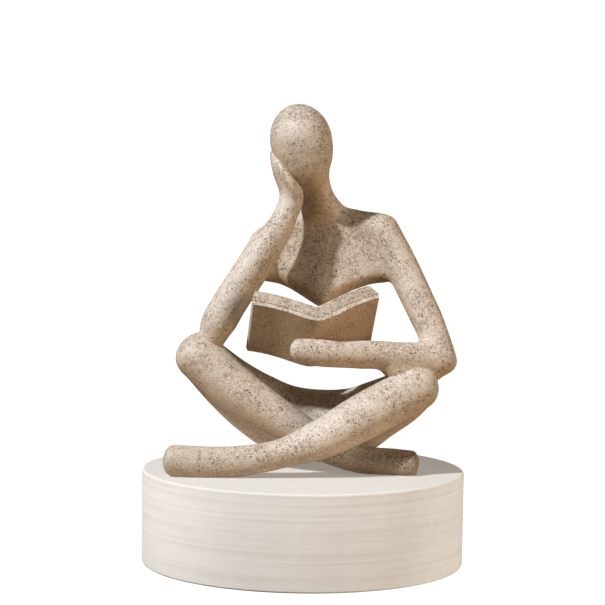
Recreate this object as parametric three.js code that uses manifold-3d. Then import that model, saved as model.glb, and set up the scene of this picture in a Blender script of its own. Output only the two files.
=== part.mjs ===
// Seated reader figurine: a slender faceless figure sits cross-legged with its cheek on one
// hand and an open book in the other, cast in one piece, and rests on a round plaster plinth.
// Millimetres, +Z up. The figure looks along -Y, and the origin is the centre of the plinth's
// underside.
import * as THREE from "three";
import { mergeVertices } from "three/addons/utils/BufferGeometryUtils.js";
import Module from "manifold-3d";

const wasm = await Module();
wasm.setup();

// Driving dimensions
const PLINTH_DIAMETER = 155;
const PLINTH_HEIGHT = 45;
const PLINTH_EDGE_ROUND = 1.2;
const REST_GAP = 0.3; // the casting stands this much above the plinth's top
const FIGURE_HEIGHT = 175; // from the casting's underside to its crown

// Fineness of the faceted solids
const PLINTH_SIDES = 72;
const EDGE_STEPS = 3;
const LIMB_SIDES = 18;
const CAP_RINGS = 3;
const LEAF_STEPS = 8;

// The figure's forms are in hundredths of its height, z up from its own underside
const HUNDREDTH = FIGURE_HEIGHT / 100;
const TRIM_BLOCK = 150; // wider than the figure, it cuts the underside flat

// Directions used to lay out the oval sections of the lofts
const UP = [0, 0, 1];
const BACK = [0, 1, 0];

// A loft's stations are [x, y, z, half-width across, half-width towards `toward`]
const HEAD = {
  stations: [
    [1.3, -2.4, 78.6, 3.9, 4.6],
    [0.9, -2.4, 80.2, 5.4, 6.2],
    [0.1, -2.2, 82.6, 6.9, 7.8],
    [-1.0, -1.9, 86.6, 8.2, 9.2],
    [-1.8, -1.7, 90.0, 8.5, 9.5],
  ],
  steps: 2,
  toward: BACK,
  startRound: 0.5,
  endRound: 1.12,
  endRings: 6,
};

const NECK = {
  stations: [
    [4.4, 5.8, 66.8, 8.2, 4.2],
    [3.9, 5.2, 70.8, 6.8, 4.5],
    [3.4, 3.2, 73.8, 4.7, 4.6],
    [2.6, 1.6, 77.0, 4.1, 4.5],
    [1.0, -0.4, 83.4, 4.8, 5.4],
  ],
  steps: 2,
  toward: BACK,
  startRound: 0.3,
};

// The chest is a broad plate that narrows to a rounded keel above the book
const CHEST = {
  stations: [
    [-12.4, 5.2, 58.6, 4.6, 7.2],
    [-9.6, 5.3, 58.8, 5.1, 7.9],
    [-5.5, 5.4, 59.4, 5.5, 9.6],
    [-1.6, 5.4, 59.2, 5.7, 11.2],
    [1.8, 5.4, 58.8, 5.8, 12.8],
    [4.6, 5.4, 58.4, 5.8, 13.8],
    [7.6, 5.4, 59.4, 5.8, 12.9],
    [11.2, 5.4, 60.4, 5.7, 11.4],
    [15.6, 5.5, 60.9, 5.5, 10.1],
    [21.2, 5.6, 60.4, 5.0, 9.4],
  ],
  steps: 1,
  toward: UP,
  startRound: 0.5,
  endRound: 0.25,
};

const COLLAR = {
  stations: [
    [-12.5, 5.6, 62.4, 4.4, 3.4],
    [-5.5, 5.6, 65.6, 4.5, 3.6],
    [3.4, 5.8, 67.6, 4.6, 4.2],
    [12.0, 5.8, 67.2, 4.5, 3.9],
    [20.6, 5.8, 66.6, 4.6, 3.8],
  ],
  steps: 2,
  toward: UP,
  endRound: 0.4,
};

const PELVIS = {
  stations: [
    [-6.4, 11.2, 9.6, 9.6, 10.4],
    [4.0, 14.0, 9.6, 10.4, 11.1],
    [14.4, 11.2, 9.6, 9.6, 10.4],
  ],
  steps: 3,
  toward: UP,
};

// The arm on the viewer's left props the cheek, its elbow on the knee
const PROPPING_ARM = {
  stations: [
    [-11.6, 5.6, 61.4, 4.4, 4.6],
    [-16.9, 1.6, 51.8, 4.5, 4.7],
    [-23.0, -4.6, 40.8, 4.6, 4.8],
  ],
  steps: 3,
  toward: BACK,
};

const PROPPING_FOREARM = {
  stations: [
    [-26.0, -6.1, 33.2, 2.9, 3.5],
    [-24.9, -6.0, 37.2, 4.0, 4.3],
    [-23.1, -5.8, 41.4, 4.8, 4.9],
    [-15.0, -5.2, 54.6, 4.7, 4.8],
    [-10.0, -5.1, 62.3, 4.2, 4.3],
    [-6.5, -5.1, 68.0, 3.5, 3.6],
    [-3.9, -4.9, 74.6, 3.3, 3.4],
  ],
  steps: 2,
  toward: BACK,
  startRound: 0.5,
};

const PROPPING_HAND = {
  stations: [
    [-3.9, -4.9, 73.6, 3.2, 3.4],
    [-4.2, -4.9, 77.2, 3.3, 3.9],
    [-6.4, -4.6, 81.2, 2.6, 4.0],
    [-8.5, -3.6, 84.6, 1.7, 3.4],
    [-9.2, -2.8, 86.4, 1.0, 2.4],
  ],
  steps: 2,
  toward: BACK,
};

// The arm on the viewer's right comes down outside and carries the book
const HOLDING_ARM = {
  stations: [
    [20.6, 5.6, 65.6, 5.0, 5.0],
    [25.4, 3.6, 57.2, 4.6, 4.6],
    [30.7, -0.2, 46.9, 4.3, 4.3],
    [35.0, -3.4, 37.4, 4.3, 4.3],
    [37.3, -5.3, 30.6, 4.4, 4.4],
  ],
  steps: 2,
  toward: BACK,
  endRound: 0.7,
};

const HOLDING_FOREARM = {
  stations: [
    [37.2, -5.5, 30.5, 4.3, 4.3],
    [31.6, -7.2, 31.6, 4.0, 4.3],
    [25.4, -9.2, 32.4, 3.7, 3.9],
    [12.4, -12.8, 33.2, 3.5, 3.5],
    [3.6, -15.2, 33.6, 3.4, 3.5],
    [-1.6, -15.7, 34.2, 3.0, 3.1],
  ],
  steps: 2,
  toward: UP,
};

// A small web fills the corner between the lying forearm and the thigh below it
const ELBOW_WEB = {
  stations: [
    [22.6, -5.6, 28.4, 2.6, 2.2],
    [27.0, -5.2, 28.2, 3.2, 2.6],
    [33.0, -5.4, 27.8, 3.4, 2.8],
  ],
  steps: 1,
  toward: UP,
};

// The thighs run from the hips out to the knees, with the shins laid over them
const THIGH_UNDER_ELBOW = {
  stations: [
    [-4.6, 11.0, 11.2, 9.4, 9.8],
    [-13.2, 6.9, 16.6, 8.4, 8.9],
    [-20.6, 2.2, 22.6, 7.4, 7.7],
    [-27.8, -3.4, 29.4, 6.4, 6.6],
  ],
  steps: 2,
  toward: UP,
};

const THIGH_UNDER_FOREARM = {
  stations: [
    [12.6, 11.0, 11.0, 9.4, 9.6],
    [20.4, 5.6, 15.8, 8.1, 8.2],
    [26.0, 1.2, 19.4, 7.3, 7.3],
    [30.2, -3.6, 22.2, 6.5, 6.5],
  ],
  steps: 2,
  toward: UP,
};

const REAR_SHIN = {
  stations: [
    [-29.1, -6.4, 30.9, 6.5, 6.6],
    [-19.3, -7.4, 22.7, 6.3, 6.4],
    [-6.2, -7.6, 13.9, 5.3, 5.4],
    [2.3, -8.0, 8.9, 4.6, 4.7],
    [10.6, -9.0, 4.9, 4.0, 3.8],
    [18.0, -9.8, 3.3, 3.7, 3.4],
    [30.0, -10.4, 3.1, 3.9, 3.6],
  ],
  steps: 2,
  toward: UP,
  startRound: 0.95,
  endRound: 0.35,
};

const FRONT_SHIN = {
  stations: [
    [30.8, -6.9, 23.2, 6.5, 6.5],
    [16.9, -11.2, 16.1, 6.3, 6.4],
    [4.3, -14.6, 10.1, 5.3, 5.3],
    [-7.6, -16.0, 5.9, 4.1, 3.9],
    [-20.1, -15.9, 3.8, 4.1, 3.9],
    [-35.0, -15.6, 3.5, 4.3, 4.1],
  ],
  steps: 2,
  toward: UP,
  startRound: 0.95,
  endRound: 0.35,
};

// The open book: its spine faces the viewer, and its head edge is turned up and forward.
// Each half swings up from the spine, and its outer part lies flatter.
const BOOK = {
  spine: [3.5, -19.6, 42.4], // the cover's lowest point on the head edge
  leafHeight: 18.8,
  pages: 3.7,
  cover: 1.25,
  leanForward: 46,
  turn: 7.7,
  left: { side: -1, width: 18.4, rise: 18, lip: 8 },
  right: { side: 1, width: 19.2, rise: 25.5, lip: 18 },
};

const CASTING = [
  HEAD, NECK, CHEST, COLLAR, PELVIS, PROPPING_ARM, PROPPING_FOREARM, PROPPING_HAND,
  HOLDING_ARM, HOLDING_FOREARM, ELBOW_WEB, THIGH_UNDER_ELBOW, THIGH_UNDER_FOREARM,
  REAR_SHIN, FRONT_SHIN,
];

const sandResin = new THREE.MeshStandardMaterial({
  name: "sand_resin", color: 0xbfa98f, roughness: 0.55, metalness: 0,
});
const whitePlaster = new THREE.MeshStandardMaterial({
  name: "white_plaster", color: 0xe9e4dc, roughness: 0.8, metalness: 0,
});

// A closed geometry with its shared corners merged and its empty triangles dropped
function closed(geometry) {
  geometry.deleteAttribute("normal");
  geometry.deleteAttribute("uv");
  const merged = mergeVertices(geometry, 1e-4);
  const corners = merged.index.array;
  const kept = [];
  for (let i = 0; i < corners.length; i += 3) {
    const [a, b, c] = corners.slice(i, i + 3);
    if (a !== b && b !== c && c !== a) kept.push(a, b, c);
  }
  merged.setIndex(kept);
  return merged;
}

function toSolid(geometry) {
  const merged = closed(geometry);
  return new wasm.Manifold(new wasm.Mesh({
    numProp: 3,
    vertProperties: new Float32Array(merged.attributes.position.array),
    triVerts: new Uint32Array(merged.index.array),
  }));
}

function toGeometry(solid) {
  const mesh = solid.getMesh();
  const geometry = new THREE.BufferGeometry();
  geometry.setAttribute("position", new THREE.BufferAttribute(mesh.vertProperties, 3));
  geometry.setIndex(new THREE.BufferAttribute(mesh.triVerts, 1));
  return geometry;
}

const toPoint = ([x, y, z]) => new THREE.Vector3(x, y, z);

// The rings of a loft, from end to end: how far along the spine (0 to 1), how far beyond its
// end, and how much of the section is left there
function ringPlan({ stations, steps, startRound = 0.8, endRound = 0.8, endRings = CAP_RINGS }) {
  const spans = (stations.length - 1) * steps;
  const plan = [{ along: 0, beyond: startRound, size: 0 }];
  for (let i = CAP_RINGS - 1; i > 0; i -= 1) {
    const angle = (i / CAP_RINGS) * (Math.PI / 2);
    plan.push({ along: 0, beyond: startRound * Math.sin(angle), size: Math.cos(angle) });
  }
  for (let i = 0; i <= spans; i += 1) plan.push({ along: i / spans, beyond: 0, size: 1 });
  for (let i = 1; i < endRings; i += 1) {
    const angle = (i / endRings) * (Math.PI / 2);
    plan.push({ along: 1, beyond: endRound * Math.sin(angle), size: Math.cos(angle) });
  }
  plan.push({ along: 1, beyond: endRound, size: 0 });
  return plan;
}

// A smooth limb through its stations, with oval sections and rounded ends. It starts as a
// lathe with one ring for each ring of the plan, and each ring is moved onto the spine.
function loft(form) {
  const { stations, toward } = form;
  const spine = new THREE.CatmullRomCurve3(stations.map(toPoint), false, "centripetal");
  const girth = new THREE.CatmullRomCurve3(
    stations.map(([, , , across, high]) => new THREE.Vector3(across, high, 0)),
    false,
    "centripetal",
  );
  const plan = ringPlan(form);
  const profile = plan.map(({ size }, i) => new THREE.Vector2(size, i));
  const geometry = new THREE.LatheGeometry(profile, LIMB_SIDES);
  const rings = plan.map(({ along, beyond }) => {
    const tangent = spine.getTangent(along);
    const across = new THREE.Vector3().crossVectors(tangent, toPoint(toward)).normalize();
    const high = new THREE.Vector3().crossVectors(across, tangent);
    const half = girth.getPoint(along);
    const outward = along === 0 ? -beyond : beyond;
    const centre = spine.getPoint(along).addScaledVector(tangent, outward * (half.x + half.y) / 2);
    return { centre, across: across.multiplyScalar(half.x), high: high.multiplyScalar(half.y) };
  });
  const position = geometry.attributes.position;
  for (let i = 0; i < position.count; i += 1) {
    const ring = rings[Math.round(position.getY(i))];
    const point = ring.centre.clone()
      .addScaledVector(ring.across, position.getX(i))
      .addScaledVector(ring.high, position.getZ(i));
    position.setXYZ(i, point.x, point.y, point.z);
  }
  return toSolid(geometry);
}

// Half of the open book's section, from the spine to the fore edge: the cover's outside at
// depth 0, or a line at some depth above it
function leafLine({ side, width, rise, lip }, depth, firstStep) {
  const riseAngle = THREE.MathUtils.degToRad(rise);
  const lipAngle = THREE.MathUtils.degToRad(lip);
  const tip = new THREE.Vector2(Math.cos(riseAngle), Math.sin(riseAngle)).multiplyScalar(width);
  const flat = new THREE.Vector2(Math.cos(lipAngle), Math.sin(lipAngle)).multiplyScalar(width / 2);
  const curve = new THREE.CubicBezierCurve(
    new THREE.Vector2(0, 0), new THREE.Vector2(width / 5, 0), tip.clone().sub(flat), tip,
  );
  const points = [];
  for (let i = firstStep; i <= LEAF_STEPS; i += 1) {
    const point = curve.getPoint(i / LEAF_STEPS);
    const tangent = curve.getTangent(i / LEAF_STEPS);
    point.add(new THREE.Vector2(-tangent.y, tangent.x).multiplyScalar(depth));
    points.push(new THREE.Vector2(side * point.x, point.y));
  }
  return points;
}

// The section of the open book: the cover below and the two page blocks meeting in the gutter
function bookSection() {
  const thickness = BOOK.cover + BOOK.pages;
  const gutter = new THREE.Vector2(0, thickness);
  return new THREE.Shape([
    ...leafLine(BOOK.left, 0, 1).reverse(),
    ...leafLine(BOOK.right, 0, 0),
    ...leafLine(BOOK.right, thickness, 2).reverse(),
    gutter,
    ...leafLine(BOOK.left, thickness, 2),
  ]);
}

function book() {
  const geometry = new THREE.ExtrudeGeometry(bookSection(), {
    depth: BOOK.leafHeight, bevelEnabled: false, steps: 1,
  });
  geometry.translate(0, 0, -BOOK.leafHeight);
  // The leaves run down and back from the head edge, and open upwards and back
  const lean = THREE.MathUtils.degToRad(BOOK.leanForward);
  const across = new THREE.Vector3(1, 0, 0);
  const opening = new THREE.Vector3(0, Math.sin(lean), Math.cos(lean));
  const headward = new THREE.Vector3(0, -Math.cos(lean), Math.sin(lean));
  const facing = new THREE.Matrix4().makeBasis(across, opening, headward);
  const turned = new THREE.Matrix4().makeRotationZ(THREE.MathUtils.degToRad(BOOK.turn));
  geometry.applyMatrix4(turned.multiply(facing));
  geometry.translate(...BOOK.spine);
  return toSolid(geometry);
}

// The limbs and the book joined, and cut flat where they rest
function figure() {
  const joined = CASTING.map(loft).reduce((whole, piece) => whole.add(piece)).add(book());
  const block = new THREE.BoxGeometry(TRIM_BLOCK, TRIM_BLOCK, TRIM_BLOCK);
  const below = toSolid(block.translate(0, 0, -TRIM_BLOCK / 2));
  return toGeometry(joined.subtract(below)).scale(HUNDREDTH, HUNDREDTH, HUNDREDTH);
}

function plinth() {
  const radius = PLINTH_DIAMETER / 2;
  const inner = radius - PLINTH_EDGE_ROUND;
  const profile = [new THREE.Vector2(0, 0)];
  const edges = [
    { z: PLINTH_EDGE_ROUND, from: -Math.PI / 2 },
    { z: PLINTH_HEIGHT - PLINTH_EDGE_ROUND, from: 0 },
  ];
  for (const { z, from } of edges) {
    for (let i = 0; i <= EDGE_STEPS; i += 1) {
      const angle = from + ((Math.PI / 2) * i) / EDGE_STEPS;
      profile.push(new THREE.Vector2(
        inner + PLINTH_EDGE_ROUND * Math.cos(angle),
        z + PLINTH_EDGE_ROUND * Math.sin(angle),
      ));
    }
  }
  profile.push(new THREE.Vector2(0, PLINTH_HEIGHT));
  return closed(new THREE.LatheGeometry(profile, PLINTH_SIDES).rotateX(Math.PI / 2));
}

function named(name, geometry, material) {
  const mesh = new THREE.Mesh(geometry, material);
  mesh.name = name;
  return mesh;
}

const reader = named("reader_figure", figure(), sandResin);
reader.position.z = PLINTH_HEIGHT + REST_GAP;

const model = new THREE.Group();
model.add(named("plinth", plinth(), whitePlaster), reader);

export default model;
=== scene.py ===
import math

import bmesh
import bpy
import numpy as np
from mathutils import Matrix, Vector


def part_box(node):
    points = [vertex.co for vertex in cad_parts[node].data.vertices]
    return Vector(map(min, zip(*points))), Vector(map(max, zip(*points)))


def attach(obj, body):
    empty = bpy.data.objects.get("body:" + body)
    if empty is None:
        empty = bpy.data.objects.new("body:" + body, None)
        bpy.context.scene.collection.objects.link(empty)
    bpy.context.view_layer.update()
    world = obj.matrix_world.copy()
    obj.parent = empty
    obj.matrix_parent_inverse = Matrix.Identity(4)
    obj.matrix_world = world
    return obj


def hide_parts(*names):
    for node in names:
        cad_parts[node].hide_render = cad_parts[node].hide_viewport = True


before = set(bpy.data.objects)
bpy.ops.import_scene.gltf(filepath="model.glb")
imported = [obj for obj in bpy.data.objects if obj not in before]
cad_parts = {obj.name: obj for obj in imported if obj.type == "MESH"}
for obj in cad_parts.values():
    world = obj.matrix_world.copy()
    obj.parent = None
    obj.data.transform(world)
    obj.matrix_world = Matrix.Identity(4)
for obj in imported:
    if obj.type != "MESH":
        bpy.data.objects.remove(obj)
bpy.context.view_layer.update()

MM = 0.001
figure_low, figure_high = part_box("reader_figure")
plinth_low, plinth_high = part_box("plinth")
BASE = figure_low.z

# The figure and its book are in hundredths of the figure's height, z up from its underside
UNIT = (figure_high.z - figure_low.z) / 100

SIDE = np.array([1.0, 0.0, 0.0])
BACK = np.array([0.0, 1.0, 0.0])
UP = np.array([0.0, 0.0, 1.0])

LIMB_SIDES = 48
RING_SPACING = 0.55
FEWEST_SPANS = 8
CAP_RINGS = 9
CAP_SWEEP = math.radians(88)  # a rounded end stops just short of its pole
WEIGHT_STEPS = 40
SMOOTHING = 0.5
SAME_PLACE = 1e-7  # metres
CREASE = math.radians(38)


def spline(points, along):
    """Point and slope, a share of the way along, of the smooth curve through the points."""
    last = len(points) - 1
    i = min(int(along * last), last - 1)
    share = along * last - i
    here, there = points[i], points[i + 1]
    before = points[i - 1] if i else 2 * here - there
    after = points[i + 2] if i + 2 <= last else 2 * there - here
    gap = math.sqrt(np.linalg.norm(there - here)) or 1.0
    gap_before = math.sqrt(np.linalg.norm(here - before)) or gap
    gap_after = math.sqrt(np.linalg.norm(after - there)) or gap
    leaving = (here - before) / gap_before - (there - before) / (gap_before + gap)
    leaving = (leaving + (there - here) / gap) * gap
    arriving = (there - here) / gap - (after - here) / (gap + gap_after)
    arriving = (arriving + (after - there) / gap_after) * gap
    square = 3 * (there - here) - 2 * leaving - arriving
    cube = 2 * (here - there) + leaving + arriving
    point = here + share * (leaving + share * (square + share * cube))
    return point, leaving + share * (2 * square + 3 * share * cube)


def limb_ring(bm, centre, half, tangent, toward, closed, plate):
    """The edges of one oval ring across the tangent; a plate's ring has flat sides."""
    across = np.cross(tangent, toward)
    across /= np.linalg.norm(across)
    high = np.cross(across, tangent)
    place = np.eye(4)
    place[:3, 0] = across * half[0] * UNIT
    place[:3, 1] = high * half[1] * UNIT
    place[:3, 2] = tangent
    place[:3, 3] = centre * UNIT + [0, 0, BASE]
    ring = bmesh.ops.create_circle(bm, cap_ends=closed, segments=LIMB_SIDES, radius=1)["verts"]
    if plate:
        slim = half[0] / half[1]
        for v in ring:
            v.co.y = v.co.y * slim + math.copysign(1 - slim, v.co.y)
    bmesh.ops.transform(bm, verts=ring, matrix=Matrix(place.tolist()))
    return list({edge for v in ring for edge in v.link_edges})


def limb(bm, stations, toward=BACK, start=0.8, end=0.8, blunt=2.0, plate=False):
    """A smooth limb: oval rings bridged along a spine, with rounded ends.

    A station is [x, y, z, half across, half high]. Start and end say how far the rounded ends
    reach out, and a blunt above 2 squares them. A plate's rings all face along X."""
    stations = np.array(stations, float)
    spine, girth = stations[:, :3], stations[:, 3:]
    length = np.linalg.norm(np.diff(spine, axis=0), axis=1).sum()
    spans = max(FEWEST_SPANS, round(length / RING_SPACING))
    angles = [CAP_SWEEP * i / CAP_RINGS for i in range(1, CAP_RINGS + 1)]
    caps = [(math.sin(a) ** (2 / blunt), math.cos(a) ** (2 / blunt)) for a in angles]
    plan = [(0, -start * out, size) for out, size in reversed(caps)]
    plan += [(i / spans, 0, 1) for i in range(spans + 1)]
    plan += [(1, end * out, size) for out, size in caps]
    before = None
    for i, (along, beyond, size) in enumerate(plan):
        centre, tangent = spline(spine, along)
        half, _ = spline(girth, along)
        tangent = SIDE if plate else tangent / np.linalg.norm(tangent)
        centre = centre + tangent * beyond * half.mean()
        closed = i in (0, len(plan) - 1)
        edges = limb_ring(bm, centre, half * size, tangent, toward, closed, plate)
        if before:
            bmesh.ops.bridge_loops(bm, edges=before + edges)
        before = edges


def piece(name, bm):
    """An object of the shape, its faces pointing outwards."""
    bmesh.ops.recalc_face_normals(bm, faces=bm.faces)
    for face in bm.faces:
        face.smooth = True
    mesh = bpy.data.meshes.new(name)
    bm.to_mesh(mesh)
    bm.free()
    obj = bpy.data.objects.new(name, mesh)
    bpy.context.collection.objects.link(obj)
    return obj


def bake(obj):
    """The object's modifiers worked into its mesh."""
    depsgraph = bpy.context.evaluated_depsgraph_get()
    mesh = bpy.data.meshes.new_from_object(obj.evaluated_get(depsgraph))
    mesh.name = obj.name
    obj.modifiers.clear()
    obj.vertex_groups.clear()
    obj.data = mesh


def cast(name, forms, voxel=None):
    """The limbs as one object, run together into one skin where a voxel is given."""
    bm = bmesh.new()
    for form in forms:
        limb(bm, **form)
    obj = piece(name, bm)
    if voxel:
        skin = obj.modifiers.new("skin", "REMESH")
        skin.mode = "VOXEL"
        skin.voxel_size = voxel
        skin.use_smooth_shade = True
        bake(obj)
    return obj


def soften(obj, zones, rounds):
    """Smooths the skin within the zones, each [x, y, z, radius, strength]."""
    mesh = obj.data
    co = np.empty(len(mesh.vertices) * 3)
    mesh.vertices.foreach_get("co", co)
    co = (co.reshape(-1, 3) - [0, 0, BASE]) / UNIT
    weight = np.zeros(len(co))
    for x, y, z, radius, strength in zones:
        inside = 1 - np.linalg.norm(co - [x, y, z], axis=1) / radius
        near = np.clip(inside * 2, 0, 1)
        weight = np.maximum(weight, strength * near * near * (3 - 2 * near))
    group = obj.vertex_groups.new(name="soften")
    level = np.round(weight * WEIGHT_STEPS).astype(int)
    for i in range(1, level.max() + 1):
        group.add(np.flatnonzero(level == i).tolist(), i / WEIGHT_STEPS, "REPLACE")
    smooth = obj.modifiers.new("soften", "SMOOTH")
    smooth.factor = SMOOTHING
    smooth.iterations = rounds
    smooth.vertex_group = group.name
    bake(obj)


def join(obj, others):
    """The bodies joined into one, with a crease where they meet."""
    for other in others:
        union = obj.modifiers.new("join", "BOOLEAN")
        union.operation = "UNION"
        union.solver = "MANIFOLD"
        union.object = other
        bake(obj)
        bpy.data.objects.remove(other)


def rest_flat(obj):
    """Cuts the body level with the figure's base, closes it there and creases sharp edges."""
    bm = bmesh.new()
    bm.from_mesh(obj.data)
    bmesh.ops.remove_doubles(bm, verts=bm.verts, dist=SAME_PLACE)
    # The joins leave corners with two edges, whose faces would fold onto one another
    bmesh.ops.dissolve_verts(bm, verts=[v for v in bm.verts if len(v.link_edges) == 2])
    cut = bmesh.ops.bisect_plane(
        bm, geom=bm.verts[:] + bm.edges[:] + bm.faces[:], dist=SAME_PLACE,
        plane_co=(0, 0, BASE), plane_no=(0, 0, -1), clear_outer=True,
    )["geom_cut"]
    rims = [e for e in cut if isinstance(e, bmesh.types.BMEdge) and e.is_boundary]
    soles = bmesh.ops.holes_fill(bm, edges=rims, sides=0)["faces"]
    bmesh.ops.triangulate(bm, faces=soles)
    bmesh.ops.recalc_face_normals(bm, faces=bm.faces)
    for edge in bm.edges:
        edge.smooth = edge.calc_face_angle(0) < CREASE
    bm.to_mesh(obj.data)
    bm.free()


# The figure
HEAD = dict(stations=[
    [1.3, -2.3, 78.6, 3.9, 4.8], [0.9, -2.1, 80.2, 5.4, 6.1], [0.1, -1.7, 82.6, 6.9, 7.4],
    [-1.0, -1.2, 86.6, 8.2, 8.6], [-1.8, -0.9, 90.0, 8.5, 9.0],
], start=0.5, end=1.155)
NECK = dict(stations=[
    [4.4, 6.2, 66.8, 8.2, 3.9], [3.9, 5.3, 70.8, 6.8, 4.3], [3.4, 3.2, 73.8, 4.7, 4.6],
    [2.6, 1.6, 77.0, 4.1, 4.5], [1.0, -0.4, 83.4, 4.8, 5.4],
], start=0.3)
CHEST_DEPTH = 4.0
CHEST_TILT = math.radians(5)
CHEST_LEAN = np.array([0.0, math.sin(CHEST_TILT), math.cos(CHEST_TILT)])
# The chest from side to side: [x, its middle's y, lower edge, upper edge], foremost at its keel
CHEST_ROWS = [
    [-12.6, 7.2, 51.0, 65.6], [-9.6, 7.3, 50.7, 66.7], [-7.0, 7.3, 50.2, 68.0],
    [-4.4, 7.2, 49.1, 69.0], [-1.8, 6.8, 47.6, 70.2], [0.8, 6.2, 46.0, 71.2],
    [3.0, 5.6, 44.7, 71.8], [4.7, 5.3, 44.1, 72.0], [6.4, 5.5, 45.1, 72.2],
    [8.8, 5.7, 46.7, 72.2], [11.6, 5.8, 48.3, 71.8], [14.7, 5.8, 49.6, 71.2],
    [17.6, 5.8, 50.5, 70.6], [20.4, 5.8, 50.9, 70.0], [22.4, 5.7, 50.9, 69.4],
]
CHEST = dict(stations=[
    [x, y, (low + high) / 2, CHEST_DEPTH, (high - low) / 2 / CHEST_LEAN[2]]
    for x, y, low, high in CHEST_ROWS
], toward=CHEST_LEAN, start=0.3, end=0.2, plate=True)
COLLAR = dict(stations=[
    [-12.5, 6.8, 62.4, 3.9, 3.4], [-5.5, 7.0, 65.6, 3.8, 3.6], [3.4, 6.3, 67.6, 3.9, 4.2],
    [12.0, 5.9, 67.2, 4.0, 4.0], [20.2, 5.5, 66.5, 4.5, 4.1],
], toward=UP, end=0.5)
PROPPING_ARM = dict(stations=[
    [-11.6, 5.6, 61.4, 4.4, 4.6], [-16.9, 1.6, 51.8, 4.5, 4.7], [-23.0, -4.6, 40.8, 4.6, 4.8],
])
PROPPING_FOREARM = dict(stations=[
    [-26.0, -6.4, 33.2, 2.9, 3.5], [-24.9, -6.5, 37.2, 4.0, 4.3], [-23.1, -6.7, 41.4, 4.8, 4.9],
    [-15.0, -6.9, 54.6, 4.7, 4.8], [-10.0, -6.5, 62.3, 4.2, 4.3], [-6.5, -5.0, 68.0, 3.5, 3.6],
    [-3.9, -3.6, 74.6, 3.3, 3.4],
], start=0.5)
PROPPING_HAND = dict(stations=[
    [-4.0, -3.8, 73.6, 3.2, 3.4], [-4.6, -3.1, 77.2, 3.3, 3.9], [-6.8, -2.0, 81.2, 2.6, 4.0],
    [-8.4, -0.3, 84.2, 1.7, 3.6], [-9.1, 0.8, 85.7, 1.0, 2.6],
])
HAND_EDGE = dict(stations=[
    [-8.4, -2.4, 85.0, 0.9, 1.4], [-7.3, -4.5, 83.1, 1.2, 1.9], [-5.6, -6.0, 80.2, 1.4, 2.0],
    [-3.9, -6.5, 77.2, 1.5, 1.8], [-3.2, -6.0, 74.6, 1.3, 1.3],
])
HOLDING_ARM = dict(stations=[
    [20.6, 5.6, 65.6, 5.1, 5.1], [25.5, 3.6, 57.3, 4.7, 4.7], [30.8, -0.2, 47.0, 4.4, 4.4],
    [35.2, -3.4, 37.4, 4.3, 4.3], [37.5, -5.3, 30.4, 4.4, 4.4],
], end=0.85, blunt=2.3)
HOLDING_FOREARM = dict(stations=[
    [37.2, -5.5, 30.5, 4.3, 4.3], [31.6, -7.2, 31.6, 4.0, 4.3], [25.4, -9.2, 32.2, 3.7, 4.1],
    [12.4, -12.8, 32.9, 3.6, 3.8], [3.6, -15.2, 33.4, 3.5, 3.7], [-1.6, -15.7, 34.2, 3.0, 3.1],
], toward=UP)
ELBOW_WEB = dict(stations=[
    [19.2, -10.8, 31.2, 2.6, 1.6], [21.9, -10.1, 30.0, 3.2, 2.3], [24.6, -9.3, 28.2, 3.5, 3.3],
    [28.6, -8.2, 27.4, 3.6, 3.5], [32.4, -7.0, 27.2, 3.5, 3.4], [35.0, -6.2, 27.6, 3.1, 3.1],
], toward=UP)
# The thighs and the seat between them are one bow from knee to knee
LAP = dict(stations=[
    [-27.5, -3.4, 29.6, 6.4, 6.6], [-20.6, 2.2, 22.6, 7.4, 7.7], [-13.2, 6.9, 16.6, 8.4, 8.9],
    [-4.8, 12.0, 11.6, 9.2, 9.9], [4.4, 14.3, 9.8, 9.8, 10.3], [13.2, 12.0, 11.2, 9.2, 9.7],
    [20.4, 5.6, 15.6, 8.1, 8.3], [26.0, 1.2, 19.2, 7.3, 7.4], [29.7, -4.4, 22.5, 6.4, 6.4],
], toward=UP)
REAR_SHIN = dict(stations=[
    [-28.6, -6.4, 31.1, 6.4, 6.6], [-19.3, -7.4, 22.7, 6.3, 6.4], [-6.2, -7.6, 13.9, 5.3, 5.4],
    [2.3, -7.2, 8.9, 4.6, 4.7], [10.6, -7.6, 5.0, 4.0, 3.9], [18.0, -7.9, 3.4, 3.9, 3.8],
    [24.4, -8.2, 2.9, 4.0, 3.9], [29.2, -8.5, 2.6, 3.9, 3.8],
], toward=UP, start=0.95, end=0.58, blunt=2.2)
FRONT_SHIN = dict(stations=[
    [30.3, -8.4, 23.6, 6.4, 6.4], [16.6, -13.4, 16.4, 6.2, 6.3], [4.3, -16.2, 10.1, 5.3, 5.3],
    [-7.6, -16.8, 5.8, 4.1, 3.9], [-20.1, -17.0, 3.8, 4.3, 4.2], [-29.0, -17.0, 3.7, 4.4, 4.3],
    [-34.8, -16.9, 4.0, 4.3, 4.2],
], toward=UP, start=0.95, end=0.66, blunt=2.1)

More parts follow.
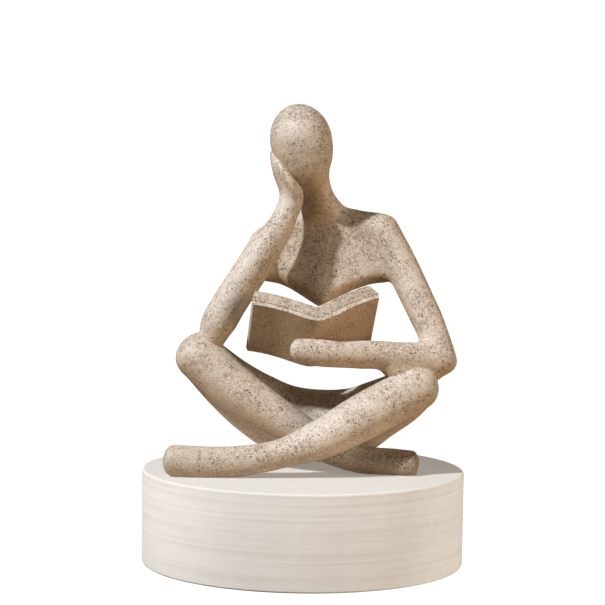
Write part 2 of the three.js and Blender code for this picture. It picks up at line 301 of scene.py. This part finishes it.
TRUNK_FORMS = [
    HEAD, NECK, CHEST, COLLAR, PROPPING_ARM, HOLDING_ARM, HOLDING_FOREARM, ELBOW_WEB,
]
TRUNK_VOXEL = 1.0 * MM
TRUNK_ZONES = [
    [4, 4, 70, 13, 1], [4, 5, 62, 14, 1], [-10, 5, 60, 12, 1], [18, 5, 63, 12, 0.8],
    [11, 2, 67, 10, 1], [21.5, 4, 51.5, 6, 0.7], [1, -1, 79, 9, 1], [36, -4, 32, 12, 1],
    [26, -8, 29.5, 12, 1],
]
TRUNK_ROUNDS = 60
FOREARM_VOXEL = 0.9 * MM
WRIST_ZONES = [[-4, -5, 74, 9, 1], [-5, -6, 80, 7, 0.6]]
WRIST_ROUNDS = 30
SEAT_VOXEL = 1.2 * MM
KNEE_ZONES = [
    [-25, -4, 36, 5, 1], [-22, -3, 44, 10, 1], [-29, -4, 31, 10, 0.3], [31, -5, 23, 10, 0.5],
]
KNEE_ROUNDS = 20


def reader():
    """The figure: a softened trunk, with the forearm, the lap and the shins creased into it."""
    trunk = cast("reader", TRUNK_FORMS, TRUNK_VOXEL)
    soften(trunk, TRUNK_ZONES, TRUNK_ROUNDS)
    forearm = cast("forearm", [PROPPING_FOREARM, PROPPING_HAND, HAND_EDGE], FOREARM_VOXEL)
    soften(forearm, WRIST_ZONES, WRIST_ROUNDS)
    seat = cast("seat", [LAP], SEAT_VOXEL)
    rear_shin = cast("rear_shin", [REAR_SHIN])
    front_shin = cast("front_shin", [FRONT_SHIN])
    join(trunk, [forearm, seat, rear_shin, front_shin])
    soften(trunk, KNEE_ZONES, KNEE_ROUNDS)
    rest_flat(trunk)
    return trunk


# The book
SPINE = [3.5, -19.6, 42.4]  # the cover's lowest point on the head edge
LEAF_HEIGHT = 19.0
PAGES = 3.7
COVER = 1.25
COVER_BEVEL = 0.35
THICKNESS = COVER + PAGES
LEAN = math.radians(46)
TURN = math.radians(7.7)
LEAF_STEPS = 20
LEAVES = 7
GUTTER_GROOVE = 0.22
GUTTER_DEPTH = 0.7
LEAF_GROOVE = 0.16
# Each half's side, width, rise and lip in degrees, fan of the leaves, and leaf grooves' depth
HALVES = [(-1, 18.4, 18, 8, 0.4, 0.1), (1, 19.7, 25.5, 18, 1.1, 0.2)]
SAME_CORNER = 1e-4


def leaf_point(half, step, depth):
    """A point of the open book's section, from the spine (0) to the fore edge (1)."""
    side, width, rise, lip, fan, _ = half
    rise, lip = math.radians(rise), math.radians(lip)
    tip = np.array([math.cos(rise), math.sin(rise)]) * width
    flat = np.array([math.cos(lip), math.sin(lip)]) * width / 2
    a, b, c, d = np.zeros(2), np.array([width / 5, 0]), tip - flat, tip
    t = step * (1 - fan * (depth / THICKNESS) ** 2 / width)
    if not depth:
        t *= 1 - COVER_BEVEL / width
    u = 1 - t
    point = u**3 * a + 3 * u * u * t * b + 3 * u * t * t * c + t**3 * d
    slope = u * u * (b - a) + 2 * u * t * (c - b) + t * t * (d - c)
    slope /= np.linalg.norm(slope)
    point = point + depth * np.array([-slope[1], slope[0]])
    return side * max(point[0], 0), point[1]


def head_edge_bands():
    """The head edge's bands, (thickness, kind): cover, gutter, then leaves and grooves."""
    leaf = (PAGES - GUTTER_GROOVE - (LEAVES - 1) * LEAF_GROOVE) / LEAVES
    bands = [(COVER, "cover"), (GUTTER_GROOVE, "gutter"), (leaf, "leaf")]
    for _ in range(LEAVES - 1):
        bands += [(LEAF_GROOVE, "groove"), (leaf, "leaf")]
    return bands


def push_down(bm, faces, depth):
    """Extrudes the faces down by the depth."""
    made = bmesh.ops.extrude_face_region(bm, geom=faces)["geom"]
    lowered = [v for v in made if isinstance(v, bmesh.types.BMVert)]
    bmesh.ops.translate(bm, verts=lowered, vec=(0, 0, -depth))


def open_book():
    """The open book: grids bent to its section, extruded, with grooves between the leaves."""
    bands = head_edge_bands()
    levels = np.cumsum([0] + [thick for thick, _ in bands])
    bm = bmesh.new()
    grooves = {}
    for half in HALVES:
        depths = {"gutter": GUTTER_DEPTH, "groove": half[-1]}
        made_before = len(bm.faces)
        grid = bmesh.ops.create_grid(
            bm, x_segments=LEAF_STEPS, y_segments=len(bands), size=1,
        )["verts"]
        row_of = {v: i // (LEAF_STEPS + 1) for i, v in enumerate(grid)}
        for i, v in enumerate(grid):
            v.co = (*leaf_point(half, i % (LEAF_STEPS + 1) / LEAF_STEPS, levels[row_of[v]]), 0)
        for face in bm.faces[:][made_before:]:
            _, kind = bands[min(row_of[v] for v in face.verts)]
            if kind in depths:
                grooves.setdefault(depths[kind], []).append(face)
    bmesh.ops.remove_doubles(bm, verts=bm.verts, dist=SAME_CORNER)
    push_down(bm, bm.faces[:], LEAF_HEIGHT)
    for depth in sorted(grooves):
        push_down(bm, grooves[depth], depth)
        bmesh.ops.delete(bm, geom=grooves[depth], context="FACES_ONLY")
    opening = Vector((0, math.sin(LEAN), math.cos(LEAN)))
    headward = Vector((0, -math.cos(LEAN), math.sin(LEAN)))
    facing = Matrix((Vector((1, 0, 0)), opening, headward)).transposed().to_4x4()
    place = (
        Matrix.Translation((0, 0, BASE)) @ Matrix.Scale(UNIT, 4) @ Matrix.Translation(SPINE)
        @ Matrix.Rotation(TURN, 4, "Z") @ facing
    )
    bmesh.ops.transform(bm, verts=bm.verts, matrix=place)
    book = piece("open_book", bm)
    for polygon in book.data.polygons:
        polygon.use_smooth = False
    return book


# The plinth
PLINTH_RADIUS = (plinth_high.x - plinth_low.x) / 2
PLINTH_EDGE = 1.2 * MM
PLINTH_EDGE_STEPS = 6
PLINTH_STEPS = 256
POLE_MERGE = 1e-6  # metres


def plinth_drum():
    """The plinth, turned from its section, with rounded edges."""
    bm = bmesh.new()
    corners = [
        (0, plinth_low.z), (PLINTH_RADIUS, plinth_low.z), (PLINTH_RADIUS, plinth_high.z),
        (0, plinth_high.z),
    ]
    section = [bm.verts.new((x, 0, z)) for x, z in corners]
    for pair in zip(section, section[1:]):
        bm.edges.new(pair)
    bmesh.ops.bevel(
        bm, geom=section[1:3], offset=PLINTH_EDGE, offset_type="OFFSET",
        segments=PLINTH_EDGE_STEPS, profile=0.5, affect="VERTICES", material=-1,
    )
    bmesh.ops.spin(
        bm, geom=bm.verts[:] + bm.edges[:], cent=(0, 0, 0), axis=(0, 0, 1), angle=math.tau,
        steps=PLINTH_STEPS, use_merge=True,
    )
    bmesh.ops.remove_doubles(bm, verts=bm.verts, dist=POLE_MERGE)
    return piece("plinth_drum", bm)


# The sockets of a colour Mix node, which has others of the same names
MIX_FACTOR, MIX_A, MIX_B, MIX_RESULT = 0, 6, 7, 2


class Finish:
    """A small helper for node materials, which read Object coordinates."""

    def __init__(self, name):
        self.material = bpy.data.materials.new(name)
        self.material.use_nodes = True
        self.tree = self.material.node_tree
        self.surface = self.tree.nodes["Principled BSDF"]
        self.place = self.node("ShaderNodeTexCoord").outputs["Object"]
        self.upward = self.node("ShaderNodeAttribute", attribute_name="upward").outputs["Fac"]

    def node(self, kind, **settings):
        node = self.tree.nodes.new(kind)
        for key, value in settings.items():
            setattr(node, key, value)
        return node

    def put(self, socket, value):
        """Links the value, or keeps it on the socket where it is a constant."""
        if isinstance(value, bpy.types.NodeSocket):
            self.tree.links.new(value, socket)
        elif socket.type == "RGBA" and len(value) == 3:
            socket.default_value = (*value, 1)
        else:
            socket.default_value = value

    def looks(self, **values):
        """Sets the surface's sockets, named with _ for a space."""
        for key, value in values.items():
            self.put(self.surface.inputs[key.replace("_", " ")], value)

    def math(self, operation, *values):
        node = self.node("ShaderNodeMath", operation=operation)
        for socket, value in zip(node.inputs, values):
            self.put(socket, value)
        return node.outputs[0]

    def scaled(self, scale, offset, source=None):
        node = self.node("ShaderNodeMapping")
        self.put(node.inputs["Vector"], source or self.place)
        self.put(node.inputs["Location"], offset)
        self.put(node.inputs["Scale"], scale)
        return node.outputs[0]

    def noise(self, size, detail=2.0, roughness=0.5, offset=(0, 0, 0), output="Fac"):
        """Noise around 0.5, with features of that size in metres, or of three sizes."""
        sizes = size if isinstance(size, tuple) else (size,) * 3
        node = self.node("ShaderNodeTexNoise")
        self.put(node.inputs["Vector"], self.scaled(tuple(1 / s for s in sizes), offset))
        self.put(node.inputs["Scale"], 1.0)
        self.put(node.inputs["Detail"], detail)
        self.put(node.inputs["Roughness"], roughness)
        return node.outputs[output]

    def ramp(self, value, low, high, to_low=0.0, to_high=1.0):
        """A smooth step of the value, from to_low at low to to_high at high."""
        node = self.node("ShaderNodeMapRange", interpolation_type="SMOOTHSTEP")
        self.put(node.inputs["Value"], value)
        self.put(node.inputs["From Min"], low)
        self.put(node.inputs["From Max"], high)
        self.put(node.inputs["To Min"], to_low)
        self.put(node.inputs["To Max"], to_high)
        return node.outputs[0]

    def mix(self, factor, a, b, blend="MIX"):
        node = self.node("ShaderNodeMix", data_type="RGBA", blend_type=blend)
        self.put(node.inputs[MIX_FACTOR], factor)
        self.put(node.inputs[MIX_A], a)
        self.put(node.inputs[MIX_B], b)
        return node.outputs[MIX_RESULT]

    def specks(self, source, cell, share, radius, offset):
        """Round specks in a share of cells of that size, each of its own width."""
        node = self.node("ShaderNodeTexVoronoi")
        self.put(node.inputs["Vector"], self.scaled((1 / cell,) * 3, offset, source))
        self.put(node.inputs["Scale"], 1.0)
        pick = self.node("ShaderNodeSeparateColor")
        self.put(pick.inputs[0], node.outputs["Color"])
        width = self.ramp(pick.outputs[1], 0.0, 1.0, radius * 0.45, radius * 1.25)
        inner = self.math("MULTIPLY", width, 0.72)
        disc = self.ramp(node.outputs["Distance"], inner, width, 1.0, 0.0)
        present = self.math("LESS_THAN", pick.outputs[0], share)
        return self.math("MULTIPLY", disc, present)

    def bump(self, height, strength, distance):
        node = self.node("ShaderNodeBump")
        self.put(node.inputs["Strength"], strength)
        self.put(node.inputs["Distance"], distance)
        self.put(node.inputs["Height"], height)
        return node.outputs[0]


# Painted light and shade: the resin's colour on what faces down, and on what faces up
RESIN_UNDERSIDE_PAINTED_SHADE = (0.55, 0.37, 0.215)
RESIN_TOP_PAINTED_LIGHT = (0.68, 0.615, 0.555)
RESIN_MOTTLE = (0.42, 0.345, 0.26)
RESIN_PALE = (0.76, 0.69, 0.61)
FINE_FLECK = (0.26, 0.20, 0.145)
COARSE_FLECK = (0.13, 0.10, 0.075)
# Each layer's cell in millimetres, share of cells, radius, offset, colour and strength
SPECK_LAYERS = [
    (0.8, 0.75, 0.37, (1, 17, 5), (0.15, 0.12, 0.09), 0.75),
    (1.5, 0.40, 0.29, (7, 2, 31), (0.10, 0.08, 0.06), 0.9),
    (1.6, 0.30, 0.30, (23, 9, 2), (0.28, 0.14, 0.07), 0.8),
    (1.6, 0.18, 0.30, (4, 29, 8), (0.85, 0.78, 0.68), 0.65),
]
SPECK_WAVER = 0.8 * MM
# Painted shade darkens the feet up to the first height, and no longer from the second; the rear foot,
# past the first x, gets a darker painted shadow, full from the second
FEET_DARK = BASE + 8 * MM
FEET_CLEAR = BASE + 17 * MM
FEET_PAINTED_SHADE = (0.76, 0.745, 0.70)
REAR_FOOT_FROM = 12 * MM
REAR_FOOT_FULL = 30 * MM
REAR_FOOT_PAINTED_SHADOW = (0.50, 0.46, 0.38)


def sand_resin():
    """Sandstone-look cast resin: warm beige with dense dark specks of several sizes, with painted
    shade on what faces down, low on the feet and as a shadow on the rear foot.
    """
    s = Finish("sand_resin")
    waver = s.node("ShaderNodeVectorMath", operation="MULTIPLY_ADD")
    s.put(waver.inputs[0], s.noise(0.6 * MM, output="Color"))
    s.put(waver.inputs[1], (SPECK_WAVER,) * 3)
    s.put(waver.inputs[2], s.place)
    place = s.node("ShaderNodeSeparateXYZ")
    s.put(place.inputs[0], s.place)
    # Masks of painted shade: low on the feet, and a painted shadow on the rear foot
    low_feet_painted_shade = s.ramp(place.outputs["Z"], FEET_DARK, FEET_CLEAR, 1.0, 0.0)
    across = s.ramp(place.outputs["X"], REAR_FOOT_FROM, REAR_FOOT_FULL)
    rear_foot_painted_shadow = s.math("MULTIPLY", low_feet_painted_shade, across)

    # The specks gather in patches, and more of them lie on what faces up
    upward = s.ramp(s.upward, -0.75, 0.35)
    drift = s.noise(14 * MM, 3.0)
    patch = s.noise(4.5 * MM, 3.0, 0.6, (3, 1, 7))
    mean = s.math("ADD", s.math("MULTIPLY", drift, 0.5), s.math("MULTIPLY", patch, 0.5))
    # The rear foot's painted shadow also thickens the specks there, as in a dense patch
    cluster = s.math("MAXIMUM", s.ramp(mean, 0.42, 0.57, 0.35, 1.0), rear_foot_painted_shadow)
    density = s.math("MULTIPLY", cluster, s.math("MULTIPLY_ADD", upward, 0.45, 0.55))

    mottle = s.noise(1.3 * MM, 3.0, 0.65, (9, 4, 2))
    # Painted shade and light: a darker, warmer colour on what faces down, lighter on what faces up
    colour = s.mix(upward, RESIN_UNDERSIDE_PAINTED_SHADE, RESIN_TOP_PAINTED_LIGHT)
    amount = s.math("MULTIPLY", s.ramp(mottle, 0.45, 0.58), s.math("MULTIPLY", density, 0.6))
    colour = s.mix(amount, colour, RESIN_MOTTLE)
    colour = s.mix(s.ramp(mottle, 0.44, 0.34, 0.0, 0.5), colour, RESIN_PALE)
    fine = s.ramp(s.noise(0.62 * MM, 3.0, 0.75, (2, 13, 4)), 0.50, 0.585)
    colour = s.mix(s.math("MULTIPLY", fine, s.math("MULTIPLY", density, 0.75)), colour, FINE_FLECK)
    coarse = s.ramp(s.noise(1.25 * MM, 4.0, 0.8, (12, 3, 14)), 0.54, 0.61)
    colour = s.mix(s.math("MULTIPLY", coarse, s.math("MULTIPLY", density, 0.9)), colour, COARSE_FLECK)
    for cell, share, radius, offset, shade, strength in SPECK_LAYERS:
        present = s.math("MULTIPLY", density, share)
        amount = s.specks(waver.outputs[0], cell * MM, present, radius, offset)
        colour = s.mix(s.math("MULTIPLY", amount, strength), colour, shade)
    # The painted shade multiplied over the feet, darker where the rear foot has its painted shadow
    shade = s.mix(rear_foot_painted_shadow, FEET_PAINTED_SHADE, REAR_FOOT_PAINTED_SHADOW)

    grain = s.noise(0.45 * MM, 2.0, 0.6, (5, 5, 5))
    s.looks(
        Base_Color=s.mix(low_feet_painted_shade, colour, shade, "MULTIPLY"),
        Roughness=s.ramp(grain, 0.3, 0.7, 0.46, 0.62),
        Specular_IOR_Level=0.45,
        Normal=s.bump(grain, 0.35, 0.12 * MM),
    )
    return s.material


PLASTER_TOP = (0.735, 0.735, 0.73)
PLASTER_SIDE = (0.765, 0.75, 0.725)
PLASTER_STREAK = (0.70, 0.68, 0.65)
PLASTER_BAND = (0.78, 0.765, 0.74)
PLASTER_PALE = (0.84, 0.84, 0.83)
PLASTER_SPECK = (0.25, 0.18, 0.12)
# Lengths in metres along x, y and z: long round the side and fine up it
BRUSH_MARK = (1 / 8, 1 / 8, 1 / 900)
BRUSH_BAND = (1 / 12, 1 / 12, 1 / 160)


def white_plaster():
    """Matt plaster: fine level brush marks round the side, a smoother top, a few tiny specks."""
    s = Finish("white_plaster")
    streak = s.noise(BRUSH_MARK, 3.0)
    top = s.ramp(s.upward, 0.5, 0.95)
    colour = s.mix(s.ramp(streak, 0.38, 0.66), PLASTER_SIDE, PLASTER_STREAK)
    colour = s.mix(s.ramp(s.noise(BRUSH_BAND), 0.4, 0.7, 0.0, 0.5), colour, PLASTER_BAND)
    colour = s.mix(top, colour, PLASTER_TOP)
    mottle = s.noise(6 * MM, 3.0, 0.6)
    colour = s.mix(s.ramp(mottle, 0.4, 0.7, 0.0, 0.2), colour, PLASTER_PALE)
    dot = s.specks(s.place, 7 * MM, 0.10, 0.06, (3, 3, 3))
    colour = s.mix(s.math("MULTIPLY", dot, 0.7), colour, PLASTER_SPECK)
    brushed = s.math("MULTIPLY_ADD", top, -0.85, 1.0)
    s.looks(
        Base_Color=colour,
        Roughness=0.85,
        Specular_IOR_Level=0.25,
        Normal=s.bump(streak, s.math("MULTIPLY", brushed, 0.4), 0.2 * MM),
    )
    return s.material


def white_paper():
    """Paper so bright that it shows plain white, in shade as well."""
    s = Finish("paper")
    s.looks(
        Base_Color=(0.92, 0.92, 0.92),
        Roughness=0.9,
        Emission_Color=(1.0, 1.0, 1.0),
        Emission_Strength=1.0,
    )
    return s.material


def mark_upward(obj):
    """Keeps on each face corner how far it looks up, from -1 to 1, for the materials."""
    mesh = obj.data
    normals = np.empty(len(mesh.loops) * 3, np.float32)
    mesh.corner_normals.foreach_get("vector", normals)
    mesh.attributes.new("upward", "FLOAT", "CORNER")
    mesh.attributes["upward"].data.foreach_set("value", normals[2::3].copy())


def finish(obj, material, node):
    """Gives the piece its material in its one slot, marks how its faces look up, hides the node's CAD
    part and hangs the piece on the root body.
    """
    obj.data.materials.clear()
    obj.data.materials.append(material)
    mark_upward(obj)
    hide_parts(node)
    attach(obj, "root")


# The studio, in metres
FLOOR_HALF_WIDTH = 3.0
FLOOR_HALF_DEPTH = 2.6
BACKDROP_HEIGHT = 2.4
BACKDROP_CURVE = 0.6
BACKDROP_STEPS = 24


def studio_floor():
    """The floor, curving up into the backdrop; it lights nothing else."""
    bm = bmesh.new()
    path = [(-FLOOR_HALF_DEPTH, 0), (FLOOR_HALF_DEPTH, 0), (FLOOR_HALF_DEPTH, BACKDROP_HEIGHT)]
    line = [bm.verts.new((-FLOOR_HALF_WIDTH, y, z)) for y, z in path]
    for pair in zip(line, line[1:]):
        bm.edges.new(pair)
    bmesh.ops.bevel(
        bm, geom=[line[1]], offset=BACKDROP_CURVE, offset_type="OFFSET", segments=BACKDROP_STEPS,
        profile=0.5, affect="VERTICES", material=-1,
    )
    swept = bmesh.ops.extrude_edge_only(bm, edges=bm.edges[:])["geom"]
    moved = [v for v in swept if isinstance(v, bmesh.types.BMVert)]
    bmesh.ops.translate(bm, verts=moved, vec=(2 * FLOOR_HALF_WIDTH, 0, 0))
    floor = piece("floor", bm)
    floor.data.materials.append(white_paper())
    floor.visible_diffuse = False
    floor.visible_glossy = False


WORLD_COLOUR = (1.0, 0.72, 0.46, 1)
WORLD_STRENGTH = 0.13


def surroundings():
    """A faint warm light from all round."""
    world = bpy.data.worlds.new("studio")
    world.use_nodes = True
    background = world.node_tree.nodes["Background"]
    background.inputs["Color"].default_value = WORLD_COLOUR
    background.inputs["Strength"].default_value = WORLD_STRENGTH
    bpy.context.scene.world = world


def lamp(name, kind, place, aim, energy, size, colour, receivers, blockers=None):
    """A lamp for these pieces alone, which only the blockers, where given, shade."""
    data = bpy.data.lights.new(name, kind)
    data.energy = energy
    data.color = colour
    if kind == "SUN":
        data.angle = size
    else:
        data.size = size
    obj = bpy.data.objects.new(name, data)
    obj.location = place
    obj.rotation_euler = (Vector(aim) - Vector(place)).to_track_quat("-Z", "Y").to_euler()
    bpy.context.scene.collection.objects.link(obj)
    for key, pieces in (("receiver_collection", receivers), ("blocker_collection", blockers)):
        if pieces:
            chosen = bpy.data.collections.new(name + "_" + key)
            for lit in pieces:
                chosen.objects.link(lit)
            setattr(obj.light_linking, key, chosen)


FIGURE_AIM = (0, 0, 0.12)
PLINTH_AIM = (0, 0, 0.02)
KEY_PLACE = (-0.62, -0.45, 0.77)
KEY_COLOUR = (1.0, 0.995, 0.99)
KEY_STRENGTH = 4.08
KEY_SPREAD = math.radians(3)
SHADED_SHARE = 0.7  # of the light on the plinth, the figure shades this much
FILL_PLACE = (-0.75, -0.15, 0.77)
SIDE_PLACE = (1.1, -0.5, 0.12)
SIDE_COLOUR = (1.0, 0.80, 0.60)
SIDE_POWER = 11.0
SIDE_SIZE = 0.6
FRONT_PLACE = (1.15, -0.55, 0.04)
FRONT_COLOUR = (1.0, 0.90, 0.81)
FRONT_POWER = 21.5
FRONT_SIZE = 0.5


def lamps(figure, plinth):
    """A high key light from the left, and low lamps on the right against its shade."""
    shaded = KEY_STRENGTH * SHADED_SHARE
    unshaded = KEY_STRENGTH - shaded
    lamp("key", "SUN", KEY_PLACE, FIGURE_AIM, KEY_STRENGTH, KEY_SPREAD, KEY_COLOUR, figure)
    lamp("plinth_key", "SUN", KEY_PLACE, FIGURE_AIM, shaded, KEY_SPREAD, KEY_COLOUR, plinth)
    lamp(
        "plinth_fill", "SUN", FILL_PLACE, FIGURE_AIM, unshaded, KEY_SPREAD, KEY_COLOUR, plinth,
        blockers=plinth,
    )
    lamp("side", "AREA", SIDE_PLACE, FIGURE_AIM, SIDE_POWER, SIDE_SIZE, SIDE_COLOUR, figure)
    lamp("front", "AREA", FRONT_PLACE, PLINTH_AIM, FRONT_POWER, FRONT_SIZE, FRONT_COLOUR, plinth)


PICTURE_WIDTH = 605
CAMERA_PLACE = (-1 * MM, -1000 * MM, 197.7 * MM)
CAMERA_PITCH = math.radians(4.15)
CAMERA_ROLL = math.radians(0.83)
CAMERA_LENS = 124.18
CAMERA_SENSOR = 36
CAMERA_SHIFT = (-0.9, 0.3)  # in picture elements


def photo_camera():
    """The camera at the photograph's viewing angle, shifted by part of a picture element."""
    camera = bpy.data.cameras.new("camera")
    camera.lens = CAMERA_LENS
    camera.sensor_width = CAMERA_SENSOR
    camera.shift_x = CAMERA_SHIFT[0] / PICTURE_WIDTH
    camera.shift_y = CAMERA_SHIFT[1] / PICTURE_WIDTH
    obj = bpy.data.objects.new("camera", camera)
    obj.matrix_world = (
        Matrix.Translation(CAMERA_PLACE) @ Matrix.Rotation(math.pi / 2 - CAMERA_PITCH, 4, "X")
        @ Matrix.Rotation(CAMERA_ROLL, 4, "Z")
    )
    bpy.context.scene.collection.objects.link(obj)
    bpy.context.scene.camera = obj


trunk, book, plinth = reader(), open_book(), plinth_drum()
resin, plaster = sand_resin(), white_plaster()
finish(trunk, resin, "reader_figure")
finish(book, resin, "reader_figure")
finish(plinth, plaster, "plinth")

bpy.context.scene.view_settings.view_transform = "Standard"
studio_floor()
surroundings()
lamps([trunk, book], [plinth])
photo_camera()
